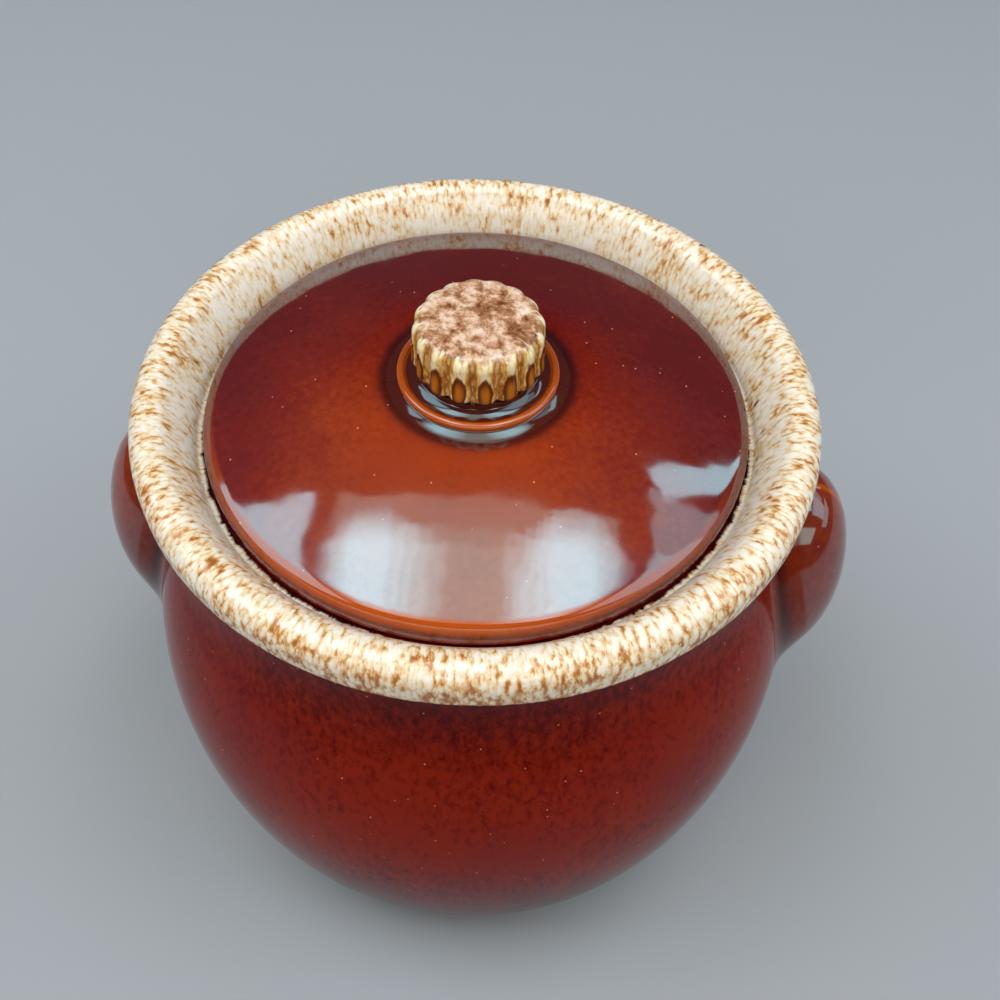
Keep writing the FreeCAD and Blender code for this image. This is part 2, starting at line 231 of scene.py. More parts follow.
def paint(code):
    """An sRGB hex colour as linear red, green, blue and alpha."""
    shares = [int(code[i:i + 2], 16) / 255 for i in (1, 3, 5)]
    linear = [c / 12.92 if c <= 0.04045 else ((c + 0.055) / 1.055) ** 2.4 for c in shares]
    return (*linear, 1.0)


def add_node(tree, kind, inputs=None, stops=(), **settings):
    """Add a node of a kind, which needs no ShaderNode in front. An input is a socket or a
    node to link, a hex colour or another value to set, and a linked node stands for the
    first output that it has in use. Stops are the places and colours of a colour ramp. A
    colour mix takes its share at input 0 and its two colours at 6 and 7."""
    made = tree.nodes.new(kind if "Node" in kind else "ShaderNode" + kind)
    for name, value in settings.items():
        setattr(made, name, value)
    for name, value in (inputs or {}).items():
        if str(value).startswith("#"):
            value = paint(value)
        if isinstance(value, bpy.types.Node):
            value = next(output for output in value.outputs if output.enabled)
        if isinstance(value, bpy.types.NodeSocket):
            tree.links.new(value, made.inputs[name])
        else:
            made.inputs[name].default_value = value
    for i, (place, colour) in enumerate(stops):
        elements = made.color_ramp.elements
        element = elements[i] if i < len(elements) else elements.new(place)
        element.position = place
        element.color = paint(colour)
    return made


def new_material(name):
    """A material with an empty tree, and add_node() for that tree."""
    material = bpy.data.materials.new(name)
    material.use_nodes = True
    material.node_tree.nodes.clear()
    return material, partial(add_node, material.node_tree)


def finish(material, add, inputs, relief, rise):
    """Give a material its shader, with a relief that rises this many millimetres."""
    bump = add("Bump", {"Height": relief, "Distance": rise * MM})
    shader = add("BsdfPrincipled", {**inputs, "Normal": bump})
    add("OutputMaterial", {"Surface": shader})
    return material


# ---- light and floor

LIGHT_HEIGHT = 1500.0
DAYLIGHT = "#eaf1f7"
LAMPLIGHT = "#fff3e2"
FLOOR_SIZE = 6000.0
FLOOR_PAINT = "#a3a9af"
WORLD_PAINT = "#c9d2da"
WORLD_STRENGTH = 0.1

# Soft boxes in the plane LIGHT_HEIGHT above the rim: name, left, right, near and far edge as
# shares of that height, turn in degrees, how bright each is against white, and its colour.
SOFT_BOXES = (
    ("ceiling", -0.46, 0.42, -0.33, 0.345, 0, 1.0, LAMPLIGHT),
    ("ceiling_front", -0.24, 0.19, -0.33, 0.23, 0, 0.5, LAMPLIGHT),
    ("ceiling_middle", -0.20, 0.16, -0.33, 0.18, 0, 0.5, LAMPLIGHT),
    ("far_left_window", -1.10, -0.555, -0.42, 0.37, 0, 3.6, DAYLIGHT),
    ("far_left_wall", -1.80, -1.10, -0.45, 0.50, 0, 3.2, DAYLIGHT),
    ("far_right_window", 0.53, 2.10, -0.46, 0.26, 0, 2.3, DAYLIGHT),
    ("far_right_wall", 0.53, 1.50, 0.26, 0.52, 0, 1.3, DAYLIGHT),
    ("back_right_window", 0.46, 1.76, 0.82, 0.96, 30, 3.4, DAYLIGHT),
    ("right_wall", 2.10, 4.50, -0.90, 0.90, 0, 1.5, DAYLIGHT),
    ("front_wall", -1.20, 1.20, -2.20, -1.00, 0, 2.4, LAMPLIGHT),
)
# Two windows behind thin curtains: name, the same four edges of the widest and of the
# narrowest layer, and how bright all layers are together.
WINDOWS = (
    ("left_window", (-0.505, -0.10, -0.33, 0.18), (-0.40, -0.26, -0.33, 0.285), 5.3),
    ("right_window", (0.08, 0.47, -0.33, 0.22), (0.20, 0.34, -0.33, 0.335), 5.1),
)
CURTAIN_LAYERS = 5
LAYER_GAP = 2.0


def make_soft_box(name, left, right, near, far, turn, strength, colour):
    """A rectangular lamp that faces straight down, a little lower than the one before it, so
    that lamps can overlap. Its energy is that of a surface which looks as bright as strength
    times a white one."""
    lamp = bpy.data.lights.new(name, "AREA")
    lamp.shape = "RECTANGLE"
    lamp.size = (right - left) * LIGHT_HEIGHT * MM
    lamp.size_y = (far - near) * LIGHT_HEIGHT * MM
    lamp.color = paint(colour)[:3]
    lamp.energy = pi * strength * lamp.size * lamp.size_y
    holder = new_object(name, lamp)
    middle = Vector(((left + right) / 2, (near + far) / 2, 1)) * LIGHT_HEIGHT
    drop = LAYER_GAP * len(bpy.data.lights)
    holder.location = (middle + Vector((0, 0, RIM_HEIGHT - drop))) * MM
    holder.rotation_euler.z = radians(turn)


def make_window(name, widest, narrowest, strength):
    """A window that fades at its sides: layers of soft box, each narrower than the last."""
    for layer in range(CURTAIN_LAYERS):
        share = layer / (CURTAIN_LAYERS - 1)
        edges = [a + (b - a) * share for a, b in zip(widest, narrowest)]
        make_soft_box(f"{name}_{layer}", *edges, 0, strength / CURTAIN_LAYERS, DAYLIGHT)


def make_world():
    """An even grey studio."""
    world = bpy.data.worlds.new("studio")
    world.use_nodes = True
    background = world.node_tree.nodes["Background"]
    background.inputs["Color"].default_value = paint(WORLD_PAINT)
    background.inputs["Strength"].default_value = WORLD_STRENGTH
    bpy.context.scene.world = world


def make_floor():
    """A plain pale floor."""
    material, add = new_material("matt_painted_floor")
    shader = add("BsdfPrincipled", {"Base Color": FLOOR_PAINT, "Roughness": 0.8,
                                    "Specular IOR Level": 0.2})
    add("OutputMaterial", {"Surface": shader})
    half = FLOOR_SIZE / 2 * MM
    mesh = bpy.data.meshes.new("floor")
    corners = [(-half, -half, 0), (half, -half, 0), (half, half, 0), (-half, half, 0)]
    mesh.from_pydata(corners, [], [(0, 1, 2, 3)])
    mesh.materials.append(material)
    new_object("floor", mesh)


for soft_box in SOFT_BOXES:
    make_soft_box(*soft_box)
for window in WINDOWS:
    make_window(*window)
make_world()
make_floor()


# ---- finishes

GLAZE_IOR = 1.6
AMBER = "#b8500a"
# Near black where glaze pools in a hollow, and painted shade in that hollow too.
POOL_AND_SHADE = "#16030a"
HAZE = "#5a1826"
PALE_SPECK = "#c98a66"
SHEEN_TINT = "#b4f1fa"
CREAM = ((0.3, "#a4602a"), (0.4, "#c98c4a"), (0.48, "#e5c18e"), (0.57, "#f2dfbe"),
         (0.7, "#faf2e4"))
PIT = "#6e4020"
# Dark brown where the ivory breaks, and at the rim's lower edge a painted shadow too.
BROKEN_EDGE_AND_SHADOW = "#2b0c06"
# The knob's side colours are paler than its glaze's own: painted light, since the upright side
# gets about half the light of the top.
KNOB_SIDE = ((0.12, "#e0b878"), (0.32, "#9c5f17"), (0.54, "#cf9439"), (0.8, "#efd086"),
             (1.0, "#fff2c8"))
KNOB_CAP = ((0.36, "#6c3a22"), (0.46, "#ac7854"), (0.54, "#ddb698"), (0.66, "#f6e4d4"))
BARE_TIP = ((0.5, "#c67812"), (0.8, "#a35d0c"), (1.0, "#643408"))
KNOB_FOOT_BROWN = "#2a1009"
CLAY = ((0.3, "#a8845e"), (0.7, "#d8bc98"))
IRON_SPECK = "#5b3319"

# Sizes of what shows in the finishes, in millimetres.
CLOUD = 24
HAZE_CLOUD = 40
FLECK = 1.8
SPECK_SPACING = 3.2
GLOSS_PATCH = 9
SWELL = 7
SWELL_RISE = 0.02
WHEEL_MARK = 1.2
WHEEL_RADIUS = 4
DASH = 1.2
STREAK = 0.9
MOTTLE_CLOUD = 7
PIT_SPACING = 8
TEAR = 2.6
IVORY_OUTSIDE, IVORY_INSIDE = (14.6, 15.2), (2.5, 3.2)
IVORY_RISE = 0.1
KNOB_GRAIN = 1.1
BLOTCH = 4
BLOTCH_RISE = 0.12
CAP_START, CAP_END, CAP_GRAIN = 3.4, 2.5, 3.5
TIP_RISE, TIP_HALF = 2.6, 4.8
TIP_NARROWNESS = 1.6
DRIP_FOOT, DRIP_TOP, DRIP_RIB, DRIP_GRAIN = 1.6, 0.6, 4.5, 4.0
SAND = 0.8
SAND_RISE = 0.08
IRON_SPACING = 2.6


def grains(size):
    """The scale of a pattern whose patches are about this many millimetres across."""
    return 1 / (size * MM)


def ring_place(add, radius, squeeze):
    """A place to read a pattern at on a turned piece: round the axis at this radius, and
    along its outline by its run times squeeze, so that a small squeeze draws the pattern
    out along the outline. It has no seam."""
    place = add("TexCoord").outputs["Object"]
    level = add("VectorMath", {0: place, 1: (1, 1, 0)}, operation="MULTIPLY")
    unit = add("VectorMath", {0: level}, operation="NORMALIZE")
    round_axis = add("VectorMath", {0: unit, "Scale": radius * MM}, operation="SCALE")
    run = add("Attribute", attribute_name="run").outputs["Fac"]
    along = add("Math", {0: run, 1: squeeze * MM}, operation="MULTIPLY")
    lift = add("CombineXYZ", {"Z": along})
    return add("VectorMath", {0: round_axis, 1: lift}, operation="ADD")


def make_brown_glaze(name, colours, shine, mottle, spot, scale, near, far):
    """Iron-red stoneware glaze, dipped and fired to a high gloss: a clear brown glass over the
    clay. It is palest round a spot and darker the further it is from there, near to far in
    millimetres, with each axis weighed by scale, and shines most near that spot. It looks orange
    where it is thin over an edge and near black where it has pooled, and that near black also
    paints the shade in hollows and creases."""
    material, add = new_material(name)
    place = add("TexCoord").outputs["Object"]
    shift = tuple(-s * k * MM for s, k in zip(spot, scale))
    away = add("Mapping", {"Vector": place, "Location": shift, "Scale": scale})
    far_off = add("VectorMath", {0: away}, operation="LENGTH")
    # Paler round the spot and darker away from it; on the pot's wall the darkening towards the rim
    # is painted shade.
    paler_near_spot = add("MapRange", {"Value": far_off, "From Min": far * MM, "From Max": near * MM},
                  interpolation_type="SMOOTHSTEP")
    drawn = add("Mapping", {"Vector": place, "Scale": (1, 1, 0.5)})
    cloud, haze, patch, swell = (
        add("TexNoise", {"Vector": place, "Scale": grains(size), "Detail": detail})
        for size, detail in ((CLOUD, 3), (HAZE_CLOUD, 2), (GLOSS_PATCH, 2), (SWELL, 1)))
    fleck = add("TexNoise", {"Vector": drawn, "Scale": grains(FLECK), "Detail": 3,
                             "Roughness": 0.7})
    cloudy = add("Math", {0: cloud, 1: 0.7, 2: paler_near_spot}, operation="MULTIPLY_ADD")
    flecked = add("Math", {0: fleck, 1: mottle, 2: cloudy}, operation="MULTIPLY_ADD")
    tone = add("Math", {0: flecked, 1: mottle / 2 + 0.35}, operation="SUBTRACT")
    body = add("ValToRGB", {"Fac": tone}, stops=zip((0.0, 0.5, 1.0), colours))
    hazy = add("MapRange", {"Value": haze, "From Min": 0.48, "From Max": 0.75, "To Max": 0.4})
    veiled = add("Mix", {0: hazy, 6: body, 7: HAZE}, data_type="RGBA")

    thin = add("Attribute", attribute_name="thin").outputs["Fac"]
    worn = add("Math", {0: fleck, 1: 0.3, 2: thin}, operation="MULTIPLY_ADD")
    edge = add("MapRange", {"Value": worn, "From Min": 0.25, "From Max": 0.55},
               interpolation_type="SMOOTHSTEP")
    bared = add("Math", {0: edge, 1: paler_near_spot}, operation="MULTIPLY")
    amber = add("Mix", {0: bared, 6: veiled, 7: AMBER}, data_type="RGBA")
    # Near black in hollows: pooled glaze, and painted shade where the hollow lies in shade.
    hollow = add("MapRange", {"Value": thin, "From Min": -0.05, "From Max": -0.7, "To Max": 0.92},
                 interpolation_type="SMOOTHSTEP")
    pooled = add("Mix", {0: hollow, 6: amber, 7: POOL_AND_SHADE}, data_type="RGBA")

    specks = add("TexVoronoi", {"Vector": place, "Scale": grains(SPECK_SPACING)})
    dot = add("MapRange", {"Value": specks, "From Min": 0.09, "From Max": 0.05})
    pick = add("SeparateXYZ", {0: specks.outputs["Color"]})
    rare = add("Math", {0: pick, 1: 0.7}, operation="GREATER_THAN")
    shown = add("Math", {0: dot, 1: rare}, operation="MULTIPLY")
    speckled = add("Mix", {0: shown, 6: pooled, 7: PALE_SPECK}, data_type="RGBA")

    shining = add("MapRange", {"Value": far_off, "From Min": 0.55 * far * MM,
                               "From Max": 0.95 * far * MM, "To Min": shine[0],
                               "To Max": shine[1]})
    calm = add("MapRange", {"Value": thin, "From Min": AT_REST, "From Max": 0.0, "To Min": 0.3})
    kept = add("Math", {0: bared, 1: -0.7, 2: 1.0}, operation="MULTIPLY_ADD")
    worn_off = add("Math", {0: calm, 1: kept}, operation="MULTIPLY")
    shine_left = add("Math", {0: shining, 1: worn_off}, operation="MULTIPLY")
    gloss = add("MapRange", {"Value": patch, "To Min": 0.02, "To Max": 0.12})
    wheel = add("TexNoise", {"Vector": ring_place(add, WHEEL_RADIUS, 1.0),
                             "Scale": grains(WHEEL_MARK), "Detail": 2})
    relief = add("Math", {0: wheel, 1: 0.12, 2: swell}, operation="MULTIPLY_ADD")
    return finish(material, add, {"Base Color": speckled, "IOR": GLAZE_IOR, "Roughness": gloss,
                                  "Specular IOR Level": shine_left, "Specular Tint": SHEEN_TINT},
                  relief, SWELL_RISE)


def make_ivory_glaze(radius, crest, foot):
    """Ivory rutile glaze, poured over the brown and run down it in the kiln: cream beads with tan
    lines between them, drawn out along the way it ran, short on the crest and long on the slope,
    with a few brown pits. The inner slope is painted paler than the outer face, painted light that
    evens out the shade on it. It breaks to dark brown at both ends of its outline, and at the
    lower outer end that dark band also paints the shadow beneath the roll. Crest and foot are how
    far along the outline the rim's top and its inner foot lie."""
    material, add = new_material("poured_ivory_glaze")
    place = add("TexCoord").outputs["Object"]
    run = add("Attribute", attribute_name="run").outputs["Fac"]
    dash_place = ring_place(add, radius, 0.48)
    dash = add("TexNoise", {"Vector": dash_place, "Scale": grains(DASH), "Detail": 5,
                            "Roughness": 0.68})
    waver = add("VectorMath", {0: dash.outputs["Color"], "Scale": DASH * MM}, operation="SCALE")
    bead_place = add("VectorMath", {0: dash_place, 1: waver}, operation="ADD")
    bead = add("TexVoronoi", {"Vector": bead_place, "Scale": grains(DASH)})
    beaded = add("Math", {0: bead, 1: -0.4, 2: 0.18}, operation="MULTIPLY_ADD")
    short = add("Math", {0: dash, 1: beaded}, operation="ADD")
    streak = add("TexNoise", {"Vector": ring_place(add, radius, 0.28), "Scale": grains(STREAK),
                              "Detail": 4, "Roughness": 0.6, "Distortion": 0.6})
    slope = add("MapRange", {"Value": run, "From Min": crest + 2, "From Max": crest + 9,
                             "To Max": 0.25})
    grain = add("Mix", {0: slope, 2: short, 3: streak})
    cloud = add("TexNoise", {"Vector": place, "Scale": grains(MOTTLE_CLOUD), "Detail": 2})
    mottle = add("Math", {0: cloud, 1: 0.42, 2: grain}, operation="MULTIPLY_ADD")
    # Paler on the inner slope than on the outer face: painted light that evens out the shade on
    # the slope.
    outer = add("MapRange", {"Value": run, "From Min": crest - 8, "From Max": crest + 6,
                             "To Min": -0.175, "To Max": -0.085})
    tone = add("Math", {0: mottle, 1: outer}, operation="ADD")
    cream = add("ValToRGB", {"Fac": tone}, stops=CREAM)

    pit = add("TexVoronoi", {"Vector": ring_place(add, radius, 0.4), "Scale": grains(PIT_SPACING)})
    pitted = add("Math", {0: dash, 1: 0.12, 2: pit}, operation="MULTIPLY_ADD")
    near_pit = add("MapRange", {"Value": pitted, "From Min": 0.15, "From Max": 0.1})
    pick = add("SeparateXYZ", {0: pit.outputs["Color"]})
    rare = add("Math", {0: pick, 1: 0.6}, operation="GREATER_THAN")
    pits = add("Math", {0: near_pit, 1: rare}, operation="MULTIPLY")
    pocked = add("Mix", {0: pits, 6: cream, 7: PIT}, data_type="RGBA")

    # Dark brown at the lower outer end: the glaze's broken edge, widened into a painted shadow
    # beneath the roll.
    ragged = add("Math", {0: dash, 1: -5.0, 2: run}, operation="MULTIPLY_ADD")
    low = add("MapRange", {"Value": ragged, "From Min": crest - IVORY_OUTSIDE[0],
                           "From Max": crest - IVORY_OUTSIDE[1]})
    torn = add("TexNoise", {"Vector": ring_place(add, radius, 0.3), "Scale": grains(TEAR),
                            "Detail": 5, "Roughness": 0.7})
    tearing = add("Math", {0: torn, 1: 4.0, 2: run}, operation="MULTIPLY_ADD")
    high = add("MapRange", {"Value": tearing, "From Min": foot + IVORY_INSIDE[0],
                            "From Max": foot + IVORY_INSIDE[1]})
    ends = add("Math", {0: low, 1: high}, operation="MAXIMUM")
    broken = add("Mix", {0: ends, 6: pocked, 7: BROKEN_EDGE_AND_SHADOW}, data_type="RGBA")

    gloss = add("MapRange", {"Value": grain, "From Min": 0.3, "From Max": 0.7, "To Min": 0.14,
                             "To Max": 0.26})
    return finish(material, add, {"Base Color": broken, "IOR": GLAZE_IOR, "Roughness": gloss,
                                  "Specular IOR Level": 0.6}, tone, IVORY_RISE)


def make_knob_glaze():
    """The same ivory glaze on the knob, thick and cream down the ribs and golden beside the
    furrows, with bare amber tips where it has run off the ribs, drips between the tips, a
    brown foot beneath, and brown blotches over the top."""
    material, add = new_material("poured_ivory_knob_glaze")
    place = add("TexCoord").outputs["Object"]
    split = add("SeparateXYZ", {0: place}).outputs
    angle = add("Math", {0: split["Y"], 1: split["X"]}, operation="ARCTAN2")
    phase = add("Math", {0: angle, 1: KNOB_RIBS / 2}, operation="MULTIPLY")
    wave = add("Math", {0: phase}, operation="SINE")
    rib = add("Math", {0: wave}, operation="ABSOLUTE")

    grain = add("TexNoise", {"Vector": ring_place(add, KNOB_TIP_RADIUS, 0.35),
                             "Scale": grains(KNOB_GRAIN), "Detail": 4})
    crossed = add("Math", {0: rib, 1: 0.9, 2: -0.76}, operation="MULTIPLY_ADD")
    across = add("Math", {0: grain, 1: 1.75, 2: crossed}, operation="MULTIPLY_ADD")
    side = add("ValToRGB", {"Fac": across}, stops=KNOB_SIDE)

    blotch = add("TexNoise", {"Vector": place, "Scale": grains(BLOTCH), "Detail": 6,
                              "Roughness": 0.68})
    top = add("ValToRGB", {"Fac": blotch}, stops=KNOB_CAP)
    cap = add("Math", {0: grain, 1: -CAP_GRAIN * MM, 2: split["Z"]}, operation="MULTIPLY_ADD")
    upper = add("MapRange", {"Value": cap, "From Min": (KNOB_TOP - CAP_START) * MM,
                             "From Max": (KNOB_TOP - CAP_END) * MM})
    poured = add("Mix", {0: upper, 6: side, 7: top}, data_type="RGBA")

    tip_middle = KNOB_TIP + TIP_RISE
    tip_height = add("Math", {0: split["Z"], 1: 1 / (TIP_HALF * MM), 2: -tip_middle / TIP_HALF},
                     operation="MULTIPLY_ADD")
    off_rib = add("Math", {0: 1.0, 1: rib}, operation="SUBTRACT")
    tip_width = add("Math", {0: off_rib, 1: 0.5}, operation="POWER")
    wide = add("Math", {0: tip_width, 1: TIP_NARROWNESS}, operation="MULTIPLY")
    tip = add("CombineXYZ", {"X": tip_height, "Y": wide})
    off_tip = add("VectorMath", {0: tip}, operation="LENGTH")
    wavy = add("Math", {0: grain, 1: 0.5, 2: off_tip}, operation="MULTIPLY_ADD")
    tipped = add("MapRange", {"Value": wavy, "From Min": 1.36, "From Max": 1.2})
    bare = add("ValToRGB", {"Fac": wavy}, stops=BARE_TIP)
    amber = add("Mix", {0: tipped, 6: poured, 7: bare}, data_type="RGBA")

    drip = add("Math", {0: rib, 1: DRIP_RIB * MM, 2: (KNOB_FOOT - DRIP_FOOT) * MM},
               operation="MULTIPLY_ADD")
    drip_end = add("Math", {0: grain, 1: DRIP_GRAIN * MM, 2: drip}, operation="MULTIPLY_ADD")
    short = add("Math", {0: drip_end, 1: (KNOB_TIP - DRIP_TOP) * MM}, operation="MINIMUM")
    below = add("Math", {0: split["Z"], 1: short}, operation="LESS_THAN")
    footed = add("Mix", {0: below, 6: amber, 7: KNOB_FOOT_BROWN}, data_type="RGBA")

    return finish(material, add, {"Base Color": footed, "IOR": GLAZE_IOR, "Roughness": 0.14},
                  blotch, BLOTCH_RISE)


def make_bare_stoneware():
    """Fired clay wiped free of glaze so that it doesn't stick in the kiln: matt buff with
    sand grains and iron specks."""
    material, add = new_material("wiped_buff_stoneware")
    place = add("TexCoord").outputs["Object"]
    sand = add("TexNoise", {"Vector": place, "Scale": grains(SAND), "Detail": 4, "Roughness": 0.6})
    clay = add("ValToRGB", {"Fac": sand}, stops=CLAY)
    iron = add("TexVoronoi", {"Vector": place, "Scale": grains(IRON_SPACING)})
    dot = add("MapRange", {"Value": iron, "From Min": 0.16, "From Max": 0.08})
    specked = add("Mix", {0: dot, 6: clay, 7: IRON_SPECK}, data_type="RGBA")
    return finish(material, add, {"Base Color": specked, "Roughness": 0.85}, sand, SAND_RISE)


# ---- outlines

NECK_RADIUS = RIM_RADIUS - NECK_INSET
NECK_HEIGHT = SEAT_HEIGHT - NECK_LENGTH
BASE_RADIUS = BELLY_RADIUS - BASE_INSET
FLOOR_HEIGHT = BASE_HEIGHT + FLOOR
GALLERY_RADIUS = RIM_RADIUS - RIM_WIDTH
THROAT_RADIUS = GALLERY_RADIUS - LEDGE_WIDTH
SHOULDER_RISE = NECK_HEIGHT - BELLY_HEIGHT
SHOULDER_BULGE = BELLY_RADIUS - NECK_RADIUS
SHOULDER_SPAN = (SHOULDER_BULGE ** 2 + SHOULDER_RISE ** 2) / (2 * SHOULDER_BULGE)
SHOULDER_CURVE = SHOULDER_SHARE * SHOULDER_SPAN
NECK_CURVE = SHOULDER_SPAN - SHOULDER_CURVE
SHOULDER_CENTRE = (BELLY_RADIUS - SHOULDER_CURVE, BELLY_HEIGHT)
NECK_CENTRE = (NECK_RADIUS + NECK_CURVE, NECK_HEIGHT)
HAUNCH_CENTRE = (BELLY_RADIUS - HAUNCH_CURVE, BELLY_HEIGHT)
DOME_RISE = DOME_TOP - LID_BASE - LID_EDGE
DOME_CURVE = (LID_RADIUS ** 2 + DOME_RISE ** 2) / (2 * DOME_RISE)


def tangent_centre(centre, reach, point, radius):
    """Centre of the circle of this radius that passes through a point and lies reach away
    from another centre."""
    across, down = point[0] - centre[0], centre[1] - point[1]
    far = hypot(across, down)
    along = (far ** 2 + reach ** 2 - radius ** 2) / (2 * far)
    aside = sqrt(reach ** 2 - along ** 2)
    return (centre[0] + (along * across + aside * down) / far,
            centre[1] + (aside * across - along * down) / far)


BASE_CENTRE = tangent_centre(HAUNCH_CENTRE, HAUNCH_CURVE - BASE_CURVE,
                             (BASE_RADIUS, BASE_HEIGHT), BASE_CURVE)
BASE_JOINT = (HAUNCH_CENTRE[1]
              + (BASE_CENTRE[1] - HAUNCH_CENTRE[1]) * HAUNCH_CURVE / (HAUNCH_CURVE - BASE_CURVE))


def wall_radius(height, inset=0.0):
    """Radius of the pot's outside at a height, or of a surface that lies inset from it."""
    joint = BELLY_HEIGHT + SHOULDER_RISE * (SHOULDER_CURVE - inset) / SHOULDER_SPAN
    if height >= NECK_HEIGHT:
        return NECK_RADIUS - inset
    if height > joint:
        curve, rise = NECK_CURVE + inset, height - NECK_CENTRE[1]
        return NECK_CENTRE[0] - sqrt(curve ** 2 - rise ** 2)
    if height > BELLY_HEIGHT:
        centre, curve = SHOULDER_CENTRE, SHOULDER_CURVE - inset
    elif height > BASE_JOINT or inset:
        centre, curve = HAUNCH_CENTRE, HAUNCH_CURVE - inset
    else:
        centre, curve = BASE_CENTRE, BASE_CURVE
    return centre[0] + sqrt(curve ** 2 - (height - centre[1]) ** 2)


def spread(first, last, step):
    """Numbers from first to last, about step apart, both ends included."""
    count = max(1, round(abs(last - first) / step))
    return [first + (last - first) * i / count for i in range(count + 1)]


def arc(centre, start, end, step):
    """Points about step apart on the circle round a centre, from start to end, the short
    way, both ends included."""
    radius = dist(centre, start)
    first = atan2(start[1] - centre[1], start[0] - centre[0])
    last = atan2(end[1] - centre[1], end[0] - centre[0])
    turn = (last - first + pi) % (2 * pi) - pi
    return [(centre[0] + radius * cos(a), centre[1] + radius * sin(a))
            for a in spread(first, first + turn, step / radius)]


def soften(points, radius, closed=False, step=0.25):
    """Round every sharp corner of an outline to this radius, or less beside a short edge."""
    made = []
    count = len(points)
    for i, point in enumerate(points):
        if not closed and i in (0, count - 1):
            made.append(point)
            continue
        here = Vector(point)
        before, after = Vector(points[i - 1]) - here, Vector(points[(i + 1) % count]) - here
        if before.length < AXIS_GAP or after.length < AXIS_GAP:
            continue
        between = before.angle(after)
        if between > pi - LEAST_CORNER:
            made.append(point)
            continue
        back = min(radius / tan(between / 2), before.length / 2, after.length / 2)
        fit = back * tan(between / 2)
        before.normalize()
        after.normalize()
        middle = here + (before + after).normalized() * (fit / sin(between / 2))
        made += arc(middle, here + before * back, here + after * back, step)
    return made


def run_to(outline, place):
    """How far along an outline the point nearest to a place lies."""
    nearest = min(range(len(outline)), key=lambda i: dist(outline[i], place))
    return sum(dist(outline[i], outline[i + 1]) for i in range(nearest))


def thinness(outline, closed):
    """How thin the glaze lies at each point of an outline: 1 on a sharp outward edge, 0 where the
    outline runs straight, and -1 in a sharp hollow, where it pools and where the near black that
    it gets is also painted shade."""
    count = len(outline)
    lines = [Vector(outline[(i + 1) % count]) - Vector(outline[i]) for i in range(count)]
    made = []
    for i in range(count):
        bend = 0.0
        for way in (1, -1):
            j, far = i, 0.0
            while far < GLAZE_REACH and (closed or 0 < j < count - 1):
                step = lines[(j if way > 0 else j - 1) % count]
                turn = lines[(j - 1) % count].xy.angle_signed(lines[j % count].xy, 0.0)
                weight = (1 - far / GLAZE_REACH) * (0.5 if j == i else 1.0)
                bend -= turn * weight
                far += step.length
                j = (j + way) % count
        made.append(max(-1.0, min(1.0, bend / FULL_BEND)))
    return made


def dome_height(radius, thickness=0.0):
    """Height of the lid's dome at a radius, or of a surface that much below it. The dome is
    round to LID_TURN_DOWN and falls away a little more beyond it."""
    beyond = max(radius - LID_TURN_DOWN, 0)
    fall = LID_TURN_SLOPE * beyond ** 3 / (3 * LID_TURN_REACH ** 2)
    return DOME_TOP - DOME_CURVE + sqrt((DOME_CURVE - thickness) ** 2 - radius ** 2) - fall


# ---- turned pieces

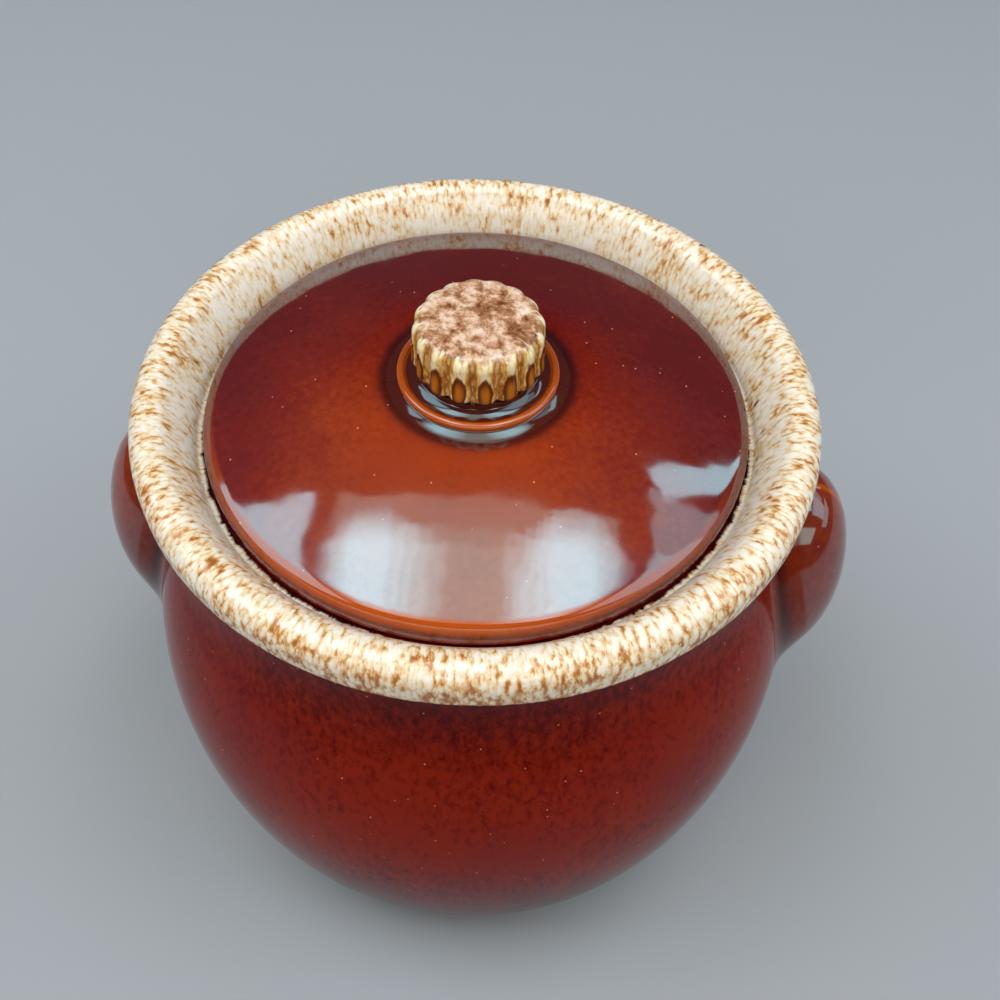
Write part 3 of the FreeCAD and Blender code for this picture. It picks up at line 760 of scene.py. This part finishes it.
def turning_tree():
    """Turn an outline round Z. The outline's Y is its depth below the table and its radius
    one more than how thin the glaze is, kept as the attribute thin. The attribute run is
    how far along the outline a point lies, in millimetres."""
    tree = bpy.data.node_groups.new("turning", "GeometryNodeTree")
    add = partial(add_node, tree)
    for name, kind in (("Outline", "Geometry"), ("Turns", "Int"), ("Axis gap", "Float"),
                       ("Ripple", "Float"), ("Ripple size", "Float"), ("Ribs", "Int"),
                       ("Rib depth", "Float"), ("Rib top", "Float"), ("Rib fade", "Float"),
                       ("Finish", "Material")):
        tree.interface.new_socket(name, in_out="INPUT", socket_type="NodeSocket" + kind)
    tree.interface.new_socket("Piece", in_out="OUTPUT", socket_type="NodeSocketGeometry")
    given = add("NodeGroupInput").outputs

    run = add("GeometryNodeSplineParameter").outputs["Length"]
    run_mm = add("Math", {0: run, 1: 1 / MM}, operation="MULTIPLY")
    marked = add("GeometryNodeStoreNamedAttribute", {"Geometry": given["Outline"], "Name": "run",
                                                     "Value": run_mm})
    radius = add("GeometryNodeInputRadius")
    thin = add("Math", {0: radius, 1: 1.0}, operation="SUBTRACT")
    marked = add("GeometryNodeStoreNamedAttribute", {"Geometry": marked, "Name": "thin",
                                                     "Value": thin})
    circle = add("GeometryNodeCurvePrimitiveCircle", {"Resolution": given["Turns"],
                                                      "Radius": given["Axis gap"]})
    turned = add("GeometryNodeCurveToMesh", {"Curve": circle, "Profile Curve": marked})
    outward = add("GeometryNodeFlipFaces", {"Mesh": turned})
    welded = add("GeometryNodeMergeByDistance", {"Geometry": outward,
                                                 "Distance": 4 * AXIS_GAP * MM})

    # Ribs: the side is pressed in between them, less near the top and more at the foot.
    place = add("GeometryNodeInputPosition")
    split = add("SeparateXYZ", {0: place}).outputs
    flat = add("CombineXYZ", {"X": split["X"], "Y": split["Y"]})
    outwards = add("VectorMath", {0: flat}, operation="NORMALIZE")
    angle = add("Math", {0: split["Y"], 1: split["X"]}, operation="ARCTAN2")
    half_ribs = add("Math", {0: given["Ribs"], 1: 0.5}, operation="MULTIPLY")
    phase = add("Math", {0: angle, 1: half_ribs}, operation="MULTIPLY")
    wave = add("Math", {0: phase}, operation="SINE")
    squared = add("Math", {0: wave, 1: wave, 2: FURROW_SOFTNESS}, operation="MULTIPLY_ADD")
    crest = add("Math", {0: squared, 1: FURROW_SHAPE}, operation="POWER")
    furrow = add("Math", {0: 1.0, 1: crest}, operation="SUBTRACT", use_clamp=True)
    fade = add("MapRange", {"Value": split["Z"], "From Min": given["Rib top"],
                            "From Max": given["Rib fade"]}, interpolation_type="SMOOTHSTEP")
    pressed = add("Math", {0: furrow, 1: fade}, operation="MULTIPLY")
    depth = add("Math", {0: pressed, 1: given["Rib depth"]}, operation="MULTIPLY")
    inwards = add("Math", {0: depth, 1: -1.0}, operation="MULTIPLY")
    shift = add("VectorMath", {0: outwards, "Scale": inwards}, operation="SCALE")
    ribbed = add("GeometryNodeSetPosition", {"Geometry": welded, "Offset": shift})

    # Ripple: the surface swells and sinks along its normal.
    noise = add("TexNoise", {"Vector": place, "Scale": given["Ripple size"], "Detail": 1})
    centred = add("Math", {0: noise, 1: 0.5}, operation="SUBTRACT")
    height = add("Math", {0: centred, 1: given["Ripple"]}, operation="MULTIPLY")
    normal = add("GeometryNodeInputNormal")
    swell = add("VectorMath", {0: normal, "Scale": height}, operation="SCALE")
    rippled = add("GeometryNodeSetPosition", {"Geometry": ribbed, "Offset": swell})
    smooth = add("GeometryNodeSetShadeSmooth", {"Geometry": rippled})
    real = add("GeometryNodeRealizeInstances", {"Geometry": smooth})
    finished = add("GeometryNodeSetMaterial", {"Geometry": real, "Material": given["Finish"]})
    add("NodeGroupOutput", {"Piece": finished})
    return tree


TURNING = turning_tree()


def turn_piece(name, outline, material, body, node, slot, closed=False, thin=None, **inputs):
    """Turn an outline into a piece that stands for a node."""
    curve = bpy.data.curves.new(name + "_outline", "CURVE")
    curve.dimensions = "3D"
    spline = curve.splines.new("POLY")
    spline.points.add(len(outline) - 1)
    spline.use_cyclic_u = closed
    thin = thin or thinness(outline, closed)
    for point, (radius, height), thinned in zip(spline.points, outline, thin):
        point.co = ((radius - AXIS_GAP) * MM, -height * MM, 0, 1)
        point.radius = 1 + thinned
    holder = new_object(name + "_outline", curve)
    modifier = holder.modifiers.new("turning", "NODES")
    modifier.node_group = TURNING
    values = {"Turns": TURNS, "Axis gap": AXIS_GAP * MM, "Finish": material,
              "Ripple size": grains(RIPPLE_SIZE), **inputs}
    for socket in TURNING.interface.items_tree:
        if socket.name in values:
            modifier[socket.identifier] = values[socket.name]
    shaped = holder.evaluated_get(bpy.context.evaluated_depsgraph_get())
    mesh = bpy.data.meshes.new_from_object(shaped)
    bpy.data.objects.remove(holder)
    place_piece(name, mesh, body, node)


def place_piece(name, mesh, body, node):
    """Put a finished mesh in the scene for a node."""
    piece = new_object(name, mesh)
    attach(piece, body)
    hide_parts(node)


# ---- pieces

def wall_outline():
    """The pot's body: base, outside, gallery, inside and floor, with the glaze pooled in the
    gallery and painted in shade there under the lid."""
    outside = [(wall_radius(z), z) for z in spread(BASE_HEIGHT, NECK_HEIGHT, step=1.6)]
    outside += [(NECK_RADIUS, z) for z in spread(NECK_HEIGHT, SEAT_HEIGHT, step=1.6)[1:]]
    gallery = [(THROAT_RADIUS, SEAT_HEIGHT), (THROAT_RADIUS, SEAT_HEIGHT - LEDGE_THICKNESS),
               (wall_radius(NECK_HEIGHT, WALL), NECK_HEIGHT)]
    corner_height = FLOOR_HEIGHT + INSIDE_CORNER
    reach = HAUNCH_CURVE - WALL - INSIDE_CORNER
    corner_radius = HAUNCH_CENTRE[0] + sqrt(reach ** 2 - (BELLY_HEIGHT - corner_height) ** 2)
    corner_centre = (corner_radius, corner_height)
    stretch = (HAUNCH_CURVE - WALL) / reach
    joint = tuple(a + (b - a) * stretch for a, b in zip(HAUNCH_CENTRE, corner_centre))
    inside = [(wall_radius(z, WALL), z) for z in spread(NECK_HEIGHT, joint[1], step=2.2)[1:]]
    inside += arc(corner_centre, joint, (corner_radius, FLOOR_HEIGHT), step=2.0)[1:]
    inside += [(r, FLOOR_HEIGHT) for r in spread(corner_radius, AXIS_GAP, step=5)[1:]]
    base = [(r, BASE_HEIGHT) for r in spread(AXIS_GAP, BASE_RADIUS, step=6)[:-1]]
    outline = soften(base + outside + gallery + inside, WALL_ROUND, step=0.6)
    # The gallery under the lid's edge is near black: pooled glaze and painted shade.
    thin = [GALLERY_POOL_AND_SHADE if height > SEAT_HEIGHT - 1 and radius < NECK_RADIUS - 1 else t
            for (radius, height), t in zip(outline, thinness(outline, False))]
    return outline, thin


def rim_outline():
    """The rolled rim, from the hollow below its outer face over the crest and down to the
    gallery, and back beneath."""
    lip = (RIM_RADIUS - LIP_RADIUS, RIM_HEIGHT - LIP_RADIUS)
    under = (RIM_RADIUS - LIP_UNDER_RADIUS, SEAT_HEIGHT + LIP_UNDER_RADIUS)
    across, rise = lip[0] - GALLERY_RADIUS, lip[1] - SEAT_HEIGHT
    slope = atan2(rise, across) + asin(LIP_RADIUS / hypot(across, rise))
    crest_end = Vector(lip) + Matrix.Rotation(slope - SLOPE_BULGE, 2) @ Vector((0, LIP_RADIUS))
    corner_point = Vector((GALLERY_RADIUS, SEAT_HEIGHT + SKIN))
    chord, inwards = corner_point - crest_end, (Vector(lip) - crest_end).normalized()
    slope_middle = crest_end + inwards * chord.length_squared / (2 * inwards.dot(chord))
    under_end = (under[0] + LIP_UNDER_RADIUS * cos(LIP_UNDER_END),
                 under[1] + LIP_UNDER_RADIUS * sin(LIP_UNDER_END))
    hollow = soften([(NECK_RADIUS + SKIN, SEAT_HEIGHT - RIM_SKIRT),
                     (NECK_RADIUS + SKIN, under_end[1] - RIM_HOLLOW_STEP), under_end],
                    RIM_HOLLOW_ROUND)[:-1]
    roll = arc(under, under_end, (RIM_RADIUS, under[1]), step=0.4)
    crest = arc(lip, (RIM_RADIUS, lip[1]), crest_end, step=0.4)
    down = arc(slope_middle, crest_end, corner_point, step=0.5)[1:-5]
    foot_end = GALLERY_RADIUS - RIM_FOOT_ROUND
    foot = soften([down[-1], corner_point[:], (foot_end, SEAT_HEIGHT + SKIN)], RIM_FOOT_ROUND)
    beneath = [(foot_end, SEAT_HEIGHT - 1), (NECK_RADIUS - RIM_SKIRT_WIDTH, SEAT_HEIGHT - 1),
               (NECK_RADIUS - RIM_SKIRT_WIDTH, SEAT_HEIGHT - RIM_SKIRT)]
    return hollow + roll + crest + down + foot[1:] + beneath


def lid_outline():
    """The lid, from the middle of its underside round its edge to the middle of its top, and how
    thin its glaze is: bared over the rounded edge, and pooled round the collar, where its near
    black also paints the shade round the collar."""
    ring_inside = RING_RADIUS - RING_WIDTH
    lean = atan(LID_TURN_SLOPE * LID_BEVEL_STEEP + LID_RADIUS / DOME_CURVE)
    bevel_start = LID_RADIUS - LID_BEVEL_ROUND * (1 - sin(lean))
    middle = (LID_RADIUS - LID_BEVEL_ROUND,
              dome_height(bevel_start) - LID_BEVEL_ROUND * cos(lean))
    under = [(r, dome_height(r, LID_THICKNESS))
             for r in spread(AXIS_GAP, ring_inside, step=1.5)]
    foot = soften([(ring_inside, LID_BASE), (LID_RADIUS, LID_BASE), (LID_RADIUS, middle[1])],
                  LID_FOOT_ROUND, step=0.2)
    bevel = arc(middle, (LID_RADIUS, middle[1]), (bevel_start, dome_height(bevel_start)),
                step=0.25)[1:]
    dome = [(r, dome_height(r)) for r in spread(bevel_start, AXIS_GAP, step=0.8)[1:]]
    halo = COLLAR_RADIUS + COLLAR_TOE
    thin = [AT_REST] * (len(under) + len(foot))
    thin += [AT_REST + (LID_EDGE_BARED - AT_REST) * min(2 * share, 1)
             for share in spread(0, 1, step=1 / (len(bevel) - 1))]
    for radius, _ in dome:
        turned = min(max((radius - LID_TURN_DOWN) / LID_EDGE_BLEND, 0), 1)
        # A near black halo round the collar: pooled glaze and painted shade.
        pooled = exp(-max(radius - halo, 0) / HALO_WIDTH)
        calm = min(max(2 - radius / halo / HALO_SHARE, 0), 1)
        thin.append(LID_EDGE_BARED * turned - HALO_POOL_AND_SHADE * pooled + AT_REST * calm)
    return under + foot + bevel + dome, thin


def ring_outline(inside, outside, foot, top, radius):
    """A ring of rectangular section with rounded corners."""
    return soften([(inside, foot), (outside, foot), (outside, top), (inside, top)], radius,
                  closed=True)


def collar_outline():
    """The collar: a bead round the knob, with a low flare outside it that runs out into the dome,
    and a dish inside it that rises to the knob's foot. Its glaze is thin over the bead and pooled
    on both sides of it, where the near black also paints the shade beside the bead."""
    toe = COLLAR_RADIUS + COLLAR_TOE
    lean = asin(toe / DOME_CURVE)
    flare = (toe + FLARE_CURVE * sin(lean),
             dome_height(toe) - SKIN + FLARE_CURVE * cos(lean))
    foot = (COLLAR_RADIUS - SKIN, flare[1] - sqrt(
        FLARE_CURVE ** 2 - (flare[0] - COLLAR_RADIUS + SKIN) ** 2))
    bead = (COLLAR_RADIUS - BEAD_RADIUS, COLLAR_TOP - BEAD_RADIUS)
    bead_foot = (bead[0] + sqrt(BEAD_RADIUS ** 2 - (bead[1] - foot[1]) ** 2), foot[1])
    bead_top = (bead[0], COLLAR_TOP)
    flat = COLLAR_TOP - BEAD_RISE
    lift = BEAD_RADIUS - BEAD_RISE
    bead_end = (bead[0] - sqrt(BEAD_RADIUS ** 2 - lift ** 2), flat)
    dish = (bead_end[0], flat + DISH_CURVE)
    knob_foot = (dish[0] - DISH_WIDTH, dish[1] - sqrt(DISH_CURVE ** 2 - DISH_WIDTH ** 2))
    parts = (([(r, dome_height(r) - COLLAR_SUNK) for r in spread(AXIS_GAP, toe, step=3)], 0),
             (arc(flare, (toe, dome_height(toe) - SKIN), foot, step=0.3), COLLAR_POOL_AND_SHADE),
             (arc(bead, bead_foot, bead_top, step=0.15), BEAD_BARED),
             (arc(bead, bead_top, bead_end, step=0.15)[1:], BEAD_BARED),
             (arc(dish, bead_end, knob_foot, step=0.3)[1:], COLLAR_POOL_AND_SHADE),
             ([(r, knob_foot[1]) for r in spread(knob_foot[0], AXIS_GAP, step=1.5)[1:]], 0))
    outline = [point for points, _ in parts for point in points]
    return outline, [thin for points, thin in parts for _ in points]


def knob_outline():
    """The grip before it is ribbed: a round that flares out over a narrow foot and tapers a
    little to a crowned top."""
    curve = (KNOB_SHOULDER_RADIUS ** 2 + KNOB_CROWN ** 2) / (2 * KNOB_CROWN)
    crown = [(r, KNOB_TOP - curve + sqrt(curve ** 2 - r ** 2))
             for r in spread(KNOB_CROWN_RADIUS, AXIS_GAP, step=0.7)]
    side = soften([(KNOB_FOOT_RADIUS, KNOB_FOOT),
                   (KNOB_FOOT_RADIUS, KNOB_FOOT + KNOB_FOOT_HEIGHT), (KNOB_TIP_RADIUS, KNOB_TIP),
                   (KNOB_TIP_RADIUS - KNOB_TIP_DRAFT, KNOB_TIP + KNOB_TIP_LENGTH)],
                  KNOB_TIP_ROUND)
    shoulder = soften([side[-1], (KNOB_SHOULDER_RADIUS, KNOB_TOP - KNOB_CROWN), crown[0]],
                      KNOB_EDGE_ROUND)
    blank = side[:-1] + shoulder
    made = [(r, KNOB_FOOT) for r in spread(AXIS_GAP, KNOB_FOOT_RADIUS, step=2)[:-1]]
    for start, end in zip(blank, blank[1:]):
        shares = spread(0, 1, KNOB_STEP / max(KNOB_STEP, dist(start, end)))[:-1]
        made += [tuple(Vector(start).lerp(Vector(end), share)) for share in shares]
    return made + crown


# The brown glaze is palest round a spot that differs from piece to piece. On the pot's wall it
# darkens up towards the rim, painted shade under the rim, and down towards the foot; the lid and
# the collar are paler towards the front, and the lugs at their top.
pot_glaze = make_brown_glaze(
    "dipped_iron_red_glaze", ("#360501", "#620702", "#841e08"), shine=(0.05, 0.05), mottle=2.0,
    spot=(0, 0, BELLY_HEIGHT + 25), scale=(0, 0, 1), near=5, far=82)
lug_glaze = make_brown_glaze(
    "dipped_iron_red_lug_glaze", ("#5a0e04", "#701404", "#8c300a"), shine=(0.9, 0.1), mottle=1.2,
    spot=(0, 0, LUG_TOP), scale=(0, 0, 1), near=5, far=66)
lid_glaze = make_brown_glaze(
    "dipped_iron_red_lid_glaze", ("#5e0a07", "#7a1e0f", "#9a3814"), shine=(1.3, 1.5), mottle=0.8,
    spot=(-3, -36, 0), scale=(1, 1, 0), near=12, far=82)
collar_glaze = make_brown_glaze(
    "dipped_iron_red_collar_glaze", ("#3c0705", "#62170b", "#7c2c10"), shine=(2.6, 2.6),
    mottle=0.8, spot=(0, -COLLAR_RADIUS, 0), scale=(1, 1, 0), near=12, far=80)
rim_line = rim_outline()
crest_run = run_to(rim_line, (RIM_RADIUS - LIP_RADIUS, RIM_HEIGHT))
foot_run = run_to(rim_line, (GALLERY_RADIUS, SEAT_HEIGHT))
ivory_glaze = make_ivory_glaze(RIM_RADIUS - LIP_RADIUS, crest_run, foot_run)
knob_glaze = make_knob_glaze()
stoneware = make_bare_stoneware()

wall_line, wall_thin = wall_outline()
turn_piece("pot_wall", wall_line, pot_glaze, "pot", "pot_body", "brown_glaze", thin=wall_thin,
           Ripple=WALL_RIPPLE * MM)
foot_line = ring_outline(FOOT_RADIUS - FOOT_WIDTH, FOOT_RADIUS, 0, BASE_HEIGHT + SUNK, FOOT_ROUND)
turn_piece("foot", foot_line, stoneware, "pot", "foot_ring", "bare_stoneware", closed=True)
turn_piece("rim_roll", rim_line, ivory_glaze, "pot", "rolled_rim", "ivory_glaze", closed=True,
           Ripple=WALL_RIPPLE * MM)
lid_line, lid_thin = lid_outline()
turn_piece("lid_dome", lid_line, lid_glaze, "lid", "lid_shell", "brown_glaze", thin=lid_thin,
           Ripple=LID_RIPPLE * MM)
ring_line = ring_outline(RING_RADIUS - RING_WIDTH, RING_RADIUS, RING_FOOT, LID_BASE + SUNK,
                         RING_ROUND)
turn_piece("lid_locating_ring", ring_line, stoneware, "lid", "lid_flange", "bare_stoneware",
           closed=True)
collar_line, collar_thin = collar_outline()
turn_piece("collar", collar_line, collar_glaze, "lid", "knob_collar", "brown_glaze",
           thin=collar_thin)
ribs = {"Ribs": KNOB_RIBS, "Rib depth": FURROW_DEPTH * MM, "Ripple": KNOB_RIPPLE * MM,
        "Rib top": (KNOB_TOP + FURROW_START) * MM, "Rib fade": (KNOB_TOP - FURROW_FULL) * MM}
turn_piece("grip", knob_outline(), knob_glaze, "lid", "knob", "ivory_glaze", **ribs)


# ---- lugs

LUG_CENTRE = Vector((BELLY_RADIUS - LUG_SETBACK, 0, (LUG_TOP + LUG_BOTTOM) / 2))
LUG_SEMI = (LUG_TIP - LUG_CENTRE.x - SEAM_RISE, LUG_HALF_WIDTH,
            (LUG_TOP - LUG_BOTTOM) / 2 - SEAM_RISE)
LUG_START = LUG_CENTRE - Vector((LUG_ROOT, 0, 0))


def above_lug(point):
    """How far a point lies outside the bare lug, in millimetres."""
    share = Vector(a / b for a, b in zip(point - LUG_CENTRE, LUG_SEMI))
    steep = Vector(a / b for a, b in zip(share, LUG_SEMI))
    return share.length * (share.length - 1) / max(steep.length, SKIN * MM)


def above_wall(point):
    """How far a point lies outside the bare wall, in millimetres."""
    height = min(max(point.z, BASE_HEIGHT + 1), SEAT_HEIGHT)
    slope = wall_radius(height) - wall_radius(height - 1)
    return (hypot(point.x, point.y) - wall_radius(height)) / hypot(1, slope)


def hollow_at(point):
    """How near a point is to the middle of the hollow between lug and wall: 1 in it, 0 beyond."""
    apart = abs(above_lug(point) - above_wall(point))
    return max(LUG_FILLET - apart, 0) / LUG_FILLET


def above_both(point):
    """How far a point lies outside the lug and the wall with a hollow between them."""
    nearest = min(above_lug(point), above_wall(point))
    return nearest - hollow_at(point) ** 2 * LUG_FILLET / 4


def last_held(low, high, test):
    """The value between low and high up to which a test holds, found by halving."""
    while high - low > SKIN * MM:
        middle = (low + high) / 2
        if test(middle):
            low = middle
        else:
            high = middle
    return low


def lug_ray(side, lean):
    """Where a ray from inside the lug leaves it. Lean is its angle from the lug's own
    direction, and side is the way it leans."""
    direction = Vector((cos(lean), sin(lean) * cos(side),
                        sin(lean) * sin(side)))
    far = 0.0
    while above_both(LUG_START + direction * far) < 0 and far < 2 * LUG_SEMI[2]:
        far += LUG_STRIDE
    return LUG_START + direction * last_held(
        far - LUG_STRIDE, far, lambda out: above_both(LUG_START + direction * out) < 0)


def lug_edge(side):
    """The lean at which the hollow has run out into the wall."""
    return last_held(*LUG_LEANS, lambda lean: above_wall(lug_ray(side, lean)) > SKIN / 3)


def make_lug(name, node, turn):
    """A solid ear, filleted to the wall, with the mould's seam down it, and closed a little inside
    the wall. Its glaze is thin along the seam and pooled in the hollow, where the near black also
    paints the shade in the crease."""
    points, thin = [], []
    for i in range(LUG_SPOKES):
        side = 2 * pi * i / LUG_SPOKES
        edge = lug_edge(side)
        for j in range(1, LUG_RINGS + 1):
            point = lug_ray(side, edge * j / LUG_RINGS)
            hollow = hollow_at(point)
            seam = exp(-(point.y / SEAM_WIDTH) ** 2) * (1 - hollow)
            outwards = (point - LUG_CENTRE).normalized()
            points.append(point + outwards * seam * SEAM_RISE)
            # Pooled glaze and painted shade in the hollow between lug and wall.
            thin.append(SEAM_BARED * seam - LUG_POOL_AND_SHADE * hollow)
        inwards = Vector((-point.x, -point.y, 0)).normalized()
        points[-1] = point + inwards * 3 * SKIN
    tip = len(points)
    points += [lug_ray(0, 0) + Vector((SEAM_RISE, 0, 0)), LUG_CENTRE - Vector((LUG_BACK, 0, 0))]
    thin += [SEAM_BARED, 0]
    faces = []
    for i in range(LUG_SPOKES):
        here, there = i * LUG_RINGS, (i + 1) % LUG_SPOKES * LUG_RINGS
        faces.append((tip, here, there))
        faces += [(j, j + 1, there - here + j + 1, there - here + j)
                  for j in range(here, here + LUG_RINGS - 1)]
        faces.append((here + LUG_RINGS - 1, tip + 1, there + LUG_RINGS - 1))
    mesh = bpy.data.meshes.new(name)
    mesh.from_pydata([point * MM for point in points], [], faces)
    mesh.attributes.new("thin", "FLOAT", "POINT").data.foreach_set("value", thin)
    mesh.attributes.new("run", "FLOAT", "POINT")
    mesh.transform(Matrix.Rotation(radians(turn), 4, "Z"))
    mesh.shade_smooth()
    mesh.materials.append(lug_glaze)
    place_piece(name, mesh, "pot", node)


make_lug("ear_right", "lug_handle_right", 0)
make_lug("ear_left", "lug_handle_left", 180)
